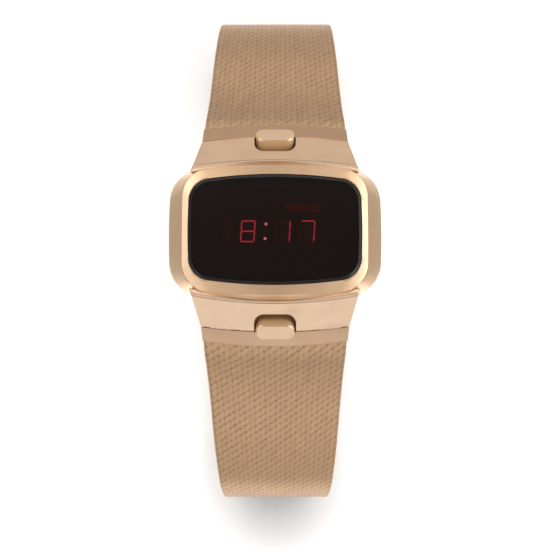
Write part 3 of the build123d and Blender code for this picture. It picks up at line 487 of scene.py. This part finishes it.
# Dark red filter crystal: clear enough at its face for the lit strokes
filterSetup = {
    "tone": (0.22, 0.022, 0.032),
    "toneLow": (0.20, 0.019, 0.028),
    "shine": (0.88, 0.90, 1.0),
    "roughness": 0.02,
    "index": 1.55,
    "hazeScale": 0.15,
}


def filterGlass(setup):
    material, tree, shader = newMaterial(
        "filterGlass", Roughness=setup["roughness"], IOR=setup["index"], Transmission_Weight=1.0
    )
    shader.inputs["Specular Tint"].default_value = (*setup["shine"], 1)
    haze = addNoise(tree, setup["hazeScale"], detail=2.0)
    tone = addRamp(tree, haze, tuple(zip(noiseSpan, (setup["toneLow"], setup["tone"]))))
    tree.links.new(tone, shader.inputs["Base Color"])
    return material


finishes["filterGlass"] = filterGlass(filterSetup)
print("finishes ready")

finishOf = {
    "brushedGold": ["bezel"],
    "polishedGold": ["end_link_12", "end_link_6"],
    "slabGold": ["case_body"],
    "buttonGold": ["date_button", "time_button"],
    "claspGold": ["clasp_frame", "clasp_cover", "adjuster_lever", "clasp_tongue", "tail_cap"],
    "backSteel": ["case_back", "hatch_left", "hatch_right", "battery_left", "battery_right"],
    "pinSteel": [
        "spring_bar_12",
        "spring_bar_6",
        "knuckle_12",
        "knuckle_6",
        "cover_pin",
        "lever_pin",
        "back_screws",
        "date_clip",
        "time_clip",
        "date_spring",
        "time_spring",
    ],
    "contactMetal": ["contact_left", "contact_right", "date_blade", "time_blade", "quartz_can"],
    "sealRubber": [
        "crystal_gasket",
        "back_gasket",
        "hatch_gasket_left",
        "hatch_gasket_right",
        "date_seal",
        "time_seal",
    ],
    "modulePlastic": ["module_frame"],
    "maskBlack": ["dial_mask"],
    "boardCeramic": ["circuit_board"],
    "chipDark": ["digit_chips", "control_chip"],
    "sensorRed": ["light_sensor"],
    "trimmerCeramic": ["trimmer_capacitor"],
    "litStroke": ["lit_segments"],
    "unlitStrokeFaintGlow": ["unlit_segments"],
    "filterGlass": ["crystal"],
}
for finish, names in finishOf.items():
    for name in names:
        nodes[name].data.materials.clear()
        nodes[name].data.materials.append(finishes[finish])

# Softened edges on the metal parts that show
softEdges = {
    "widths": {
        "bezel": 0.18,  # mm
        "clasp_frame": 0.12,
        "clasp_cover": 0.10,
        "adjuster_lever": 0.08,
        "clasp_tongue": 0.10,
        "case_back": 0.06,
        "hatch_left": 0.06,
        "hatch_right": 0.06,
    },
    "weld": 0.001,  # mm
    "segments": 2,
    "sharpest": 28,  # degrees, edges that turn more are softened
}


def evenShading(piece, weight=60):
    # Broad faces keep their own shading beside narrow ones
    shading = piece.modifiers.new("shading", "WEIGHTED_NORMAL")
    shading.weight = weight


for name, width in softEdges["widths"].items():
    weld = nodes[name].modifiers.new("weld", "WELD")
    weld.merge_threshold = softEdges["weld"] * mm
    bevel = nodes[name].modifiers.new("softEdge", "BEVEL")
    bevel.width = width * mm
    bevel.segments = softEdges["segments"]
    bevel.limit_method = "ANGLE"
    bevel.angle_limit = math.radians(softEdges["sharpest"])
    evenShading(nodes[name])
print("CAD nodes finished")


def makePiece(name, mesh, material):
    mesh.polygons.foreach_set("use_smooth", [True] * len(mesh.polygons))
    mesh.materials.append(material)
    piece = bpy.data.objects.new(name, mesh)
    collection.objects.link(piece)
    return piece


# Slim bead where the bezel meets each slab
bead = {
    "innerY": 12.01,  # mm, along the middle
    "innerBow": 0.0100,  # per mm, how far it falls back towards the corners
    "outerY": 12.65,
    "outerBow": 0.0062,
    "bowHalfWidth": 14.1,
    "rise": (0.18, 0.24),  # over the slab, at its inner and outer edge
    "edge": ((0.26, 0.0), (0.14, 0.02), (0.05, 0.08), (0.0, 0.2)),  # in from the rim and down
    "sink": 0.1,
    "slabHalfWidth": 14.42,  # at this Y, and narrower outwards by the taper per mm
    "slabWidthY": 11.0,
    "slabTaper": 0.30,
    "sideInset": 0.06,
    "halfStations": 40,
}


def buildBead(name, side, material, setup=bead):
    count = setup["halfStations"]
    inRise, outRise = setup["rise"]
    points = []
    for station in range(-count, count + 1):
        share = station / count
        bowX = share * setup["bowHalfWidth"]
        innerY = setup["innerY"] - setup["innerBow"] * bowX**2
        outerY = setup["outerY"] - setup["outerBow"] * bowX**2
        ring = [(innerY, -setup["sink"]), (innerY, inRise)]
        ring += [(outerY - back, outRise - down) for back, down in setup["edge"]]
        ring.append((outerY, -setup["sink"]))
        for y, rise in ring:
            narrower = setup["slabTaper"] * (y - setup["slabWidthY"])
            x = share * (setup["slabHalfWidth"] - setup["sideInset"] - narrower)
            points.append((side * x * mm, side * y * mm, (slabHeight(y) + rise) * mm))
    size = len(ring)
    faces = [tuple(range(size)), tuple(range(len(points) - 1, len(points) - size - 1, -1))]
    for start in range(0, 2 * count * size, size):
        for place in range(size):
            after = (place + 1) % size
            low, high = start + place, start + after
            faces.append((low, low + size, high + size, high))
    mesh = bpy.data.meshes.new(name)
    mesh.from_pydata(points, [], faces)
    shaped = bmesh.new()
    shaped.from_mesh(mesh)
    bmesh.ops.recalc_face_normals(shaped, faces=shaped.faces)
    shaped.to_mesh(mesh)
    shaped.free()
    piece = makePiece(name, mesh, material)
    evenShading(piece)
    return piece


for name, side in (("bezelBead12", 1), ("bezelBead6", -1)):
    beadPiece = buildBead(name, side, finishes["polishedGold"])
    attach(beadPiece, "head")
print("beads built")

# Woven mesh: each half is one flattened tube of wire turns, swept along the bracelet's bends
bandPath = {
    "startY": 18.0,
    "startDepth": 7.19,
    "startSlope": 30.0,
    "bends": (
        (1.4, 0),
        (8.0, 18),
        (46.0, -14),
        (3.7, 0),
        (48.0, 14),
        (14.6, 42),
        (10.5, 82),
        (70.0, 8),
    ),  # length or radius in mm, turn in degrees
    "step": 0.1,
    "heights": (4.5, crestHeight - 36.0, crestHeight - 7.19),
    "halfWidths12": (8.8, 10.3, 12.55),  # mm at those heights
    "halfWidths6": (8.8, 9.7, 12.55),
    "lastY12": -7.4,
    "lastY6": 13.57,
    "hoodY": 19.35,
    "hoodSag": 0.95,
    "hoodHalfWidth": 12.85,
    "startLean": 0.55,
    "startRows": 40,  # steps of the centre line that the cut under the hood may reach
}
weave = {
    "seed": 11,
    "halfThickness": 0.95,
    "period": 1.4,  # mm along the band from one wire turn to the next
    "faceColumns": 24,
    "edgeColumns": 2,
    "turnsPerColumn": 0.5,
    "curl": 0.32,  # how far a wire rises and falls back across its column
    "seamTurn": 0.08,  # share of a column on each side of a seam where it falls back
    "strokeDepth": 0.07,
    "strokeWidth": 0.055,
    # Painted shade in the grooves: how dark the strokes, the seams and the dips are painted
    "strokeShade": 1.0,
    "columnDepth": 0.04,
    "seamWidth": 0.07,
    "seamShade": 0.30,
    "seamFaint": 0.75,  # share of that tone at every second seam
    "nodeShade": 0.5,  # painted shade, darker where a wire dips under its neighbour
    "unevenness": 0.7,  # how much the strokes differ in darkness
    "shingle": 0.006,
    "turnRise": 0.008,  # how much the wire turns differ in height
    "rowPlaces": (0.0, 0.045, 0.1, 0.2, 0.5, 0.8, 0.9, 0.955),
    "columnPlaces": (0.0, 0.08, 0.3, 0.7, 0.92),
    "edgeReach": 0.5,
    "edgeSquare": 0.55,
    "shortestFace": 0.001,  # mm along the band
    "weld": 0.0005,  # mm
}


def traceBand(path, lastY):
    # Centre line as rows of distance, y, z and slope
    y, z, slope = path["startY"], crestHeight - path["startDepth"], math.radians(path["startSlope"])
    rows = [(0.0, y, z, slope)]
    for size, turn in path["bends"]:
        length = size * math.radians(abs(turn)) if turn else size
        count = max(2, round(length / path["step"]))
        turnStep = math.radians(turn) / count
        run = length / count
        for _ in range(count):
            y += run * math.cos(slope + turnStep / 2)
            z -= run * math.sin(slope + turnStep / 2)
            slope += turnStep
            rows.append((rows[-1][0] + run, y, z, slope))
    rows.append((rows[-1][0] + y - lastY, lastY, z, slope))
    return np.array(rows)


def grooveProfile(share, width):
    # 1 at the groove, falling off to 0 within width, for a share of a period from 0 to 1
    away = np.minimum(share, 1 - share)
    return np.exp(-((away / width) ** 2))


def weaveRelief(u, t, leanMost, rowCount, setup):
    # Height over the tube, painted shade in the grooves and tone of each wire turn
    columns = 2 * (setup["faceColumns"] + setup["edgeColumns"])
    random = np.random.RandomState(setup["seed"])
    turnTones = random.uniform(-1, 1, (rowCount + 2, columns))
    strokeTones = random.uniform(-1, 1, (rowCount + 2, columns))
    column = np.floor(u).astype(int) % columns

    def pick(tones, rounded):
        return tones[np.clip(rounded(t + leanMost).astype(int), 0, rowCount), column]

    turnTone, strokeShade = pick(turnTones, np.floor), pick(strokeTones, np.round)
    turnShare = t % 1
    stroke = grooveProfile(turnShare, setup["strokeWidth"])
    seam = grooveProfile(u % 1, setup["seamWidth"])
    height = (
        -setup["strokeDepth"] * stroke
        - setup["columnDepth"] * seam * (1 - stroke)
        + setup["shingle"] * (turnShare - 0.5)
        + setup["turnRise"] * turnTone * (1 - stroke)
    )
    faint = 1 - setup["unevenness"] * (0.5 + 0.5 * strokeShade)
    seamShare = np.where(np.round(u) % 2 == 0, 1.0, setup["seamFaint"])
    grooveShade = setup["strokeShade"] * stroke * faint + setup["seamShade"] * seam * seamShare
    grooveShade = np.clip(grooveShade + setup["nodeShade"] * stroke * seam * faint, 0, 1)
    return height, grooveShade, 0.5 + 0.5 * turnTone


def weaveFaces(rows, rowSize, shift):
    # The lean carries the turns along, so the last column joins the first one a shift further on
    index = np.arange(rows * rowSize).reshape(rows, rowSize)
    lower, upper = index[:-1], index[1:]
    faces = np.stack((lower, np.roll(lower, -1, 1), np.roll(upper, -1, 1), upper), axis=-1)
    joined = rows - 1 - shift
    faces[:joined, -1, 1] = index[shift:-1, 0]
    faces[:joined, -1, 2] = index[shift + 1 :, 0]
    faces[joined:, -1] = -1  # past the end there is nothing to join
    return faces[faces[..., 0] >= 0]


def buildWeave(name, lastY, side, halfWidths, material, setup=weave, path=bandPath):
    line = traceBand(path, lastY)
    totalLength = line[-1, 0]
    faceColumns, edgeColumns = setup["faceColumns"], setup["edgeColumns"]
    columns = 2 * (faceColumns + edgeColumns)
    leanMost = columns * setup["turnsPerColumn"]
    rowCount = int(math.ceil(totalLength / setup["period"] + leanMost)) + 1
    columnPlaces, rowPlaces = np.array(setup["columnPlaces"]), np.array(setup["rowPlaces"])
    across = np.concatenate([column + columnPlaces for column in range(columns)])
    along = np.concatenate([row - leanMost + rowPlaces for row in range(rowCount)])
    u, t = np.meshgrid(across, along)
    height, grooveShade, wireTone = weaveRelief(u, t, leanMost, rowCount, setup)

    # Where each point lies along the band: the turns lean, and fall back a little at each seam
    seamTurn = setup["seamTurn"]
    curl = np.interp(u % 1, (0, seamTurn, 1 - seamTurn, 1), (0, -1, 1, 0))
    lean = u + setup["curl"] * curl
    distance = setup["period"] * (t + setup["turnsPerColumn"] * lean)
    distance = np.clip(distance, 0, totalLength)

    # Round the tube: the outer face, an edge, the inner face and the other edge
    corners = np.cumsum((0, faceColumns, edgeColumns, faceColumns, edgeColumns))
    flatShare = np.interp(u, corners, (-1, 1, 1, -1, -1))
    angle = np.interp(u, corners, (0, 0, np.pi, np.pi, 2 * np.pi))

    # The upper end is cut upright along the curved edge of the hood over it
    half = setup["halfThickness"]
    hoodShare = flatShare * (halfWidths[-1] - half) / path["hoodHalfWidth"]
    cutY = path["hoodY"] - path["hoodSag"] * hoodShare**2
    cutY -= np.cos(angle) * half * path["startLean"]
    start = np.interp(cutY, line[: path["startRows"], 1], line[: path["startRows"], 0])
    distance = start + distance * (1 - start / totalLength)

    y, z, slope = (np.interp(distance, line[:, 0], line[:, part]) for part in (1, 2, 3))
    sine, cosine = (
        np.sign(wave) * np.abs(wave) ** setup["edgeSquare"]
        for wave in (np.sin(angle), np.cos(angle))
    )
    reach = half + height
    width = np.interp(z, path["heights"], halfWidths) - half * setup["edgeReach"]
    x = flatShare * width + sine * reach * setup["edgeReach"]
    lift = cosine * reach
    points = np.stack((x, y + np.sin(slope) * lift, z + np.cos(slope) * lift), axis=-1)
    points[..., :2] *= side  # the other half is turned round, so its wires lean the same way

    faces = weaveFaces(along.size, across.size, int(leanMost) * rowPlaces.size)
    faces = faces[np.ptp(distance.reshape(-1)[faces], axis=1) > setup["shortestFace"]]
    mesh = bpy.data.meshes.new(name)
    mesh.from_pydata((points.reshape(-1, 3) * mm).tolist(), [], faces.tolist())
    for key, tones in (("grooveShade", grooveShade), ("wireTone", wireTone)):
        attribute = mesh.attributes.new(key, "FLOAT", "POINT")
        attribute.data.foreach_set("value", tones.reshape(-1).astype(np.float32))
    closed = bmesh.new()
    closed.from_mesh(mesh)
    loose = [vertex for vertex in closed.verts if not vertex.link_faces]
    bmesh.ops.delete(closed, geom=loose, context="VERTS")
    bmesh.ops.remove_doubles(closed, verts=closed.verts, dist=setup["weld"] * mm)
    openEdges = [edge for edge in closed.edges if edge.is_boundary]
    bmesh.ops.holes_fill(closed, edges=openEdges, sides=0)
    closed.to_mesh(mesh)
    closed.free()
    print(name, len(mesh.polygons), "faces")
    return makePiece(name, mesh, material)


wovenSetup = {
    "tone": (0.568, 0.380, 0.238),
    "toneLow": (0.530, 0.352, 0.220),
    "toneHigh": (0.608, 0.408, 0.256),
    "grooveShadeTone": (0.12, 0.068, 0.036),
    "cloudScale": 0.12,
    "grainScale": 4.0,
    "roughness": (0.32, 0.48),
    "bump": 0.3,
    "bumpDistance": 0.03,  # mm
}


def meshFinish(setup):
    material, tree, shader = newMaterial("wovenGold", metallic=1.0)
    grooveShade, wireTone = (
        addNode(tree, "ShaderNodeAttribute", attribute_name=key).outputs["Fac"]
        for key in ("grooveShade", "wireTone")
    )
    cloud = addNoise(tree, setup["cloudScale"], detail=3.0)
    grain = addNoise(tree, setup["grainScale"], detail=3.0)
    wires = addRamp(tree, wireTone, ((0.0, setup["toneLow"]), (1.0, setup["toneHigh"])))
    clouded = mixTones(tree, cloud, wires, setup["tone"])
    # Painted shade: the groove attribute darkens the wires' tone in the creases
    grooveShaded = mixTones(tree, grooveShade, clouded, setup["grooveShadeTone"])
    gloss = addRange(tree, grain, noiseSpan, setup["roughness"])
    bump = addBump(tree, grain, setup["bump"], setup["bumpDistance"])
    tree.links.new(grooveShaded, shader.inputs["Base Color"])
    tree.links.new(gloss, shader.inputs["Roughness"])
    tree.links.new(bump.outputs[0], shader.inputs["Normal"])
    return material


wovenGold = meshFinish(wovenSetup)
meshLinks12 = buildWeave(
    "meshLinks12", bandPath["lastY12"], 1, bandPath["halfWidths12"], wovenGold
)
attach(meshLinks12, "band_12")
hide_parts("mesh_band_12")
meshLinks6 = buildWeave("meshLinks6", bandPath["lastY6"], -1, bandPath["halfWidths6"], wovenGold)
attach(meshLinks6, "band_6")
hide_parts("mesh_band_6")

# Studio: soft light, dim straight overhead where the camera hangs
studio = {
    "strength": 1.18,
    # Light by angle from overhead in degrees, towards 6 o'clock, towards 12 and to both sides
    "near": (
        (6, 0.2),
        (14, 0.36),
        (24, 0.6),
        (34, 0.7),
        (45, 0.8),
        (52, 0.5),
        (58, 0.97),
        (80, 0.7),
        (100, 0.7),
    ),
    "far": (
        (9, 0.2),
        (22, 0.5),
        (30, 0.5),
        (40, 0.5),
        (50, 0.5),
        (58, 1.4),
        (67, 0.8),
        (77, 0.72),
        (100, 0.7),
    ),
    "side": ((8, 0.2), (20, 1.05), (32, 1.15), (48, 2.05), (60, 0.8), (74, 0.45), (100, 0.6)),
    "sideTilt": 0.45,  # how much more light comes from the right than from the left
    "glows": (
        {"towards": (-0.34, 0.41, 0.85), "level": 1.9, "tightness": 60.0},
        {"towards": (0.32, 0.45, 0.85), "level": 1.3, "tightness": 80.0},
        {"towards": (-0.24, -0.22, 0.95), "level": 0.6, "tightness": 100.0},
        {"towards": (0.24, -0.22, 0.95), "level": 0.6, "tightness": 100.0},
    ),
    "warmDim": (1.0, 0.76, 0.52),
    # Where light towards 6 gives way to light towards 12, and both to light from the sides
    "lengthwiseSpan": (-0.5, 0.5),
    "sidewaysSpan": (0.5, 0.85),
}


def buildWorld(setup):
    world = bpy.data.worlds.new("studio")
    bpy.context.scene.world = world
    world.use_nodes = True
    tree = world.node_tree
    direction = addNode(tree, "ShaderNodeTexCoord").outputs["Generated"]
    parts = addNode(tree, "ShaderNodeSeparateXYZ", {0: direction}).outputs
    turn = addMath(tree, "DIVIDE", addMath(tree, "ARCCOSINE", parts["Z"]), math.pi)
    squareX, squareY = (addMath(tree, "POWER", parts[axis], 2.0) for axis in "XY")
    outwards = addMath(tree, "SQRT", addMath(tree, "ADD", squareX, squareY))
    outwards = addMath(tree, "MAXIMUM", outwards, 0.001)  # never 0 straight overhead
    towards12 = addMath(tree, "DIVIDE", parts["Y"], outwards)
    sideways = addMath(tree, "DIVIDE", addMath(tree, "ABSOLUTE", parts["X"]), outwards)

    def angleRamp(stops):
        # The dimmer the light, the warmer it is
        tones = []
        for angle, light in stops:
            share = min(1.0, light)
            warm = tuple(part + (1 - part) * share for part in setup["warmDim"])
            tones.append((angle / 180, tuple(light * part for part in warm)))
        return addRamp(tree, turn, tones)

    to12 = addRange(tree, towards12, setup["lengthwiseSpan"], smooth=True)
    lengthwise = mixTones(tree, to12, angleRamp(setup["near"]), angleRamp(setup["far"]))
    tilted = addMath(tree, "MULTIPLY_ADD", parts["X"], setup["sideTilt"], 1.0)
    sides = mixTones(tree, 1.0, angleRamp(setup["side"]), tilted, "MULTIPLY")
    toSide = addRange(tree, sideways, setup["sidewaysSpan"], smooth=True)
    light = mixTones(tree, toSide, lengthwise, sides)
    for glow in setup["glows"]:
        inputs = {0: direction, 1: tuple(Vector(glow["towards"]).normalized())}
        aim = addNode(tree, "ShaderNodeVectorMath", inputs, operation="DOT_PRODUCT")
        nearness = addMath(tree, "MAXIMUM", aim.outputs["Value"], 0.0)
        nearness = addMath(tree, "POWER", nearness, glow["tightness"])
        extra = addMath(tree, "MULTIPLY", nearness, glow["level"])
        light = mixTones(tree, 1.0, light, extra, "ADD")
    background = tree.nodes["Background"]
    background.inputs["Strength"].default_value = setup["strength"]
    tree.links.new(light, background.inputs["Color"])


buildWorld(studio)

# Pale paper on a light table whose glow fades out around the watch; the paper's colour is also
# painted darker farther out, a painted pool of light
paper = {
    "reach": 2.0,  # m, from the middle to each side
    "tone": (0.96, 0.97, 0.985),
    "roughness": 0.95,
    "grain": 0.02,
    "grainScale": 1.0,
    "farShade": 0.42,
    "farShadeRadius": (80.0, 140.0),  # mm, where the paper starts and ends its fall into shade
    "underlight": {"level": 0.34, "middleY": -48.0, "radius": (66.0, 118.0)},  # mm
    "contact": {"reach": 20.0, "power": 1.2, "towards": (0.0, 0.8, 0.6), "samples": 8},  # mm
}


def paperFinish(setup):
    material, tree, shader = newMaterial("paper", Roughness=setup["roughness"])
    place = objectPlace(tree)
    away = addNode(tree, "ShaderNodeVectorMath", {0: place}, operation="LENGTH").outputs["Value"]
    # Painted shade: the paper's colour darkens away from the watch
    shade = addRange(tree, away, setup["farShadeRadius"], (1.0, setup["farShade"]), smooth=True)
    shade = mixTones(tree, 1.0, shade, setup["tone"], "MULTIPLY")
    grain = addNoise(tree, setup["grainScale"], detail=3.0, output="Color")
    tone = mixTones(tree, setup["grain"], shade, grain, "MULTIPLY")

    # Painted shadow: the paper's colour and glow are darkened where the watch stands close over the
    # paper on the side of the light
    contact = setup["contact"]
    lean = addNode(tree, "ShaderNodeCombineXYZ", dict(zip("XYZ", contact["towards"])))
    inputs = {"Distance": contact["reach"] * mm, "Normal": lean.outputs[0]}
    occlusion = addNode(tree, "ShaderNodeAmbientOcclusion", inputs, samples=contact["samples"])
    openness = addMath(tree, "POWER", occlusion.outputs["AO"], contact["power"])
    tree.links.new(mixTones(tree, 1.0, tone, openness, "MULTIPLY"), shader.inputs["Base Color"])

    under = setup["underlight"]
    inputs = {0: place, 1: (0.0, under["middleY"], 0.0)}
    aside = addNode(tree, "ShaderNodeVectorMath", inputs, operation="DISTANCE").outputs["Value"]
    fade = addRange(tree, aside, under["radius"], (under["level"], 0.0), smooth=True)
    shader.inputs["Emission Color"].default_value = (*setup["tone"], 1)
    tree.links.new(addMath(tree, "MULTIPLY", fade, openness), shader.inputs["Emission Strength"])
    return material


floorMesh = bpy.data.meshes.new("floor")
signs = ((-1, -1), (1, -1), (1, 1), (-1, 1))
corners = [(paper["reach"] * x, paper["reach"] * y, 0) for x, y in signs]
floorMesh.from_pydata(corners, [], [(0, 1, 2, 3)])
floor = bpy.data.objects.new("floor", floorMesh)
collection.objects.link(floor)
floorMesh.materials.append(paperFinish(paper))
bpy.context.scene.view_settings.view_transform = "Standard"
print("studio ready")

print("scene ready")
